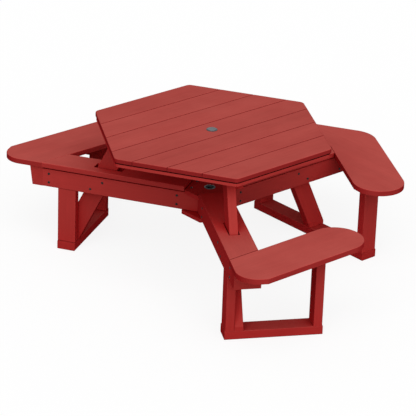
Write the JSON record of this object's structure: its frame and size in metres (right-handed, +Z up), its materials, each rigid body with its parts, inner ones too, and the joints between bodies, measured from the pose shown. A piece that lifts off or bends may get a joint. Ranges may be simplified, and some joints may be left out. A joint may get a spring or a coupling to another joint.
{
  "type": "hexagon picnic table",
  "caption": "Hexagon picnic table of plastic lumber with attached benches on radial seat arms, an open side for a wheelchair and an umbrella hole closed by a lift-out plug.",
  "frame": {"origin": "middle of the footprint's box, on the floor", "axes": "+Z up; +X from the open side towards the double bench, along the table planks; +Y to the left bench"},
  "size_m": [1.6087, 1.83, 0.712],
  "materials": {
    "lumber": "solid red plastic lumber, fine matte grain",
    "fitting": "grey moulded plastic",
    "plug": "lighter grey moulded plastic",
    "screw_metal": "dark coated screw heads"
  },
  "bodies": {
    "table": {"arm_end_block_front": "lumber", "arm_end_block_left": "lumber", "arm_end_block_right": "lumber", "arm_plank_front": "lumber", "arm_plank_left": "lumber", "arm_plank_right": "lumber", "arm_post_front": "lumber", "arm_post_left": "lumber", "arm_rail_front_bench": "lumber", "arm_rail_front_open": "lumber", "arm_rail_left_bench": "lumber", "arm_rail_left_open": "lumber", "arm_rail_right_bench": "lumber", "arm_rail_right_open": "lumber", "arm_spacer_inner_front": "lumber", "arm_spacer_inner_left": "lumber", "arm_spacer_inner_right": "lumber", "arm_spacer_outer_front": "lumber", "arm_spacer_outer_left": "lumber", "arm_spacer_outer_right": "lumber", "bench_cleat_front": "lumber", "bench_cleat_left": "lumber", "bench_cleat_right_far": "lumber", "bench_cleat_right_near": "lumber", "bench_front": "lumber", "bench_left": "lumber", "bench_post_front": "lumber", "bench_post_left": "lumber", "bench_post_right_far": "lumber", "bench_post_right_near": "lumber", "bench_right": "lumber", "foot_rail_front": "lumber", "foot_rail_left": "lumber", "foot_rail_right": "lumber", "hub_plate_lower": "lumber", "hub_plate_upper": "lumber", "leg_front": "lumber", "leg_left": "lumber", "leg_right": "lumber", "screws": "screw_metal", "top_bearer_front": "lumber", "top_bearer_left": "lumber", "top_bearer_right": "lumber", "top_plank_1": "lumber", "top_plank_2": "lumber", "top_plank_3": "lumber", "top_plank_4": "lumber", "top_plank_5": "lumber", "top_plank_6": "lumber", "top_plank_7": "lumber", "top_rim_1": "lumber", "top_rim_2": "lumber", "top_rim_3": "lumber", "top_rim_4": "lumber", "top_rim_5": "lumber", "top_rim_6": "lumber", "umbrella_ring_hub": "fitting", "umbrella_ring_top": "fitting"},
    "plug": {"umbrella_plug": "plug"}
  },
  "joints": [
    {"name": "plug_lift", "type": "slide", "parent": "table", "child": "plug", "axis": [0, 0, 1], "range_m": [0, 0.06]}
  ]
}
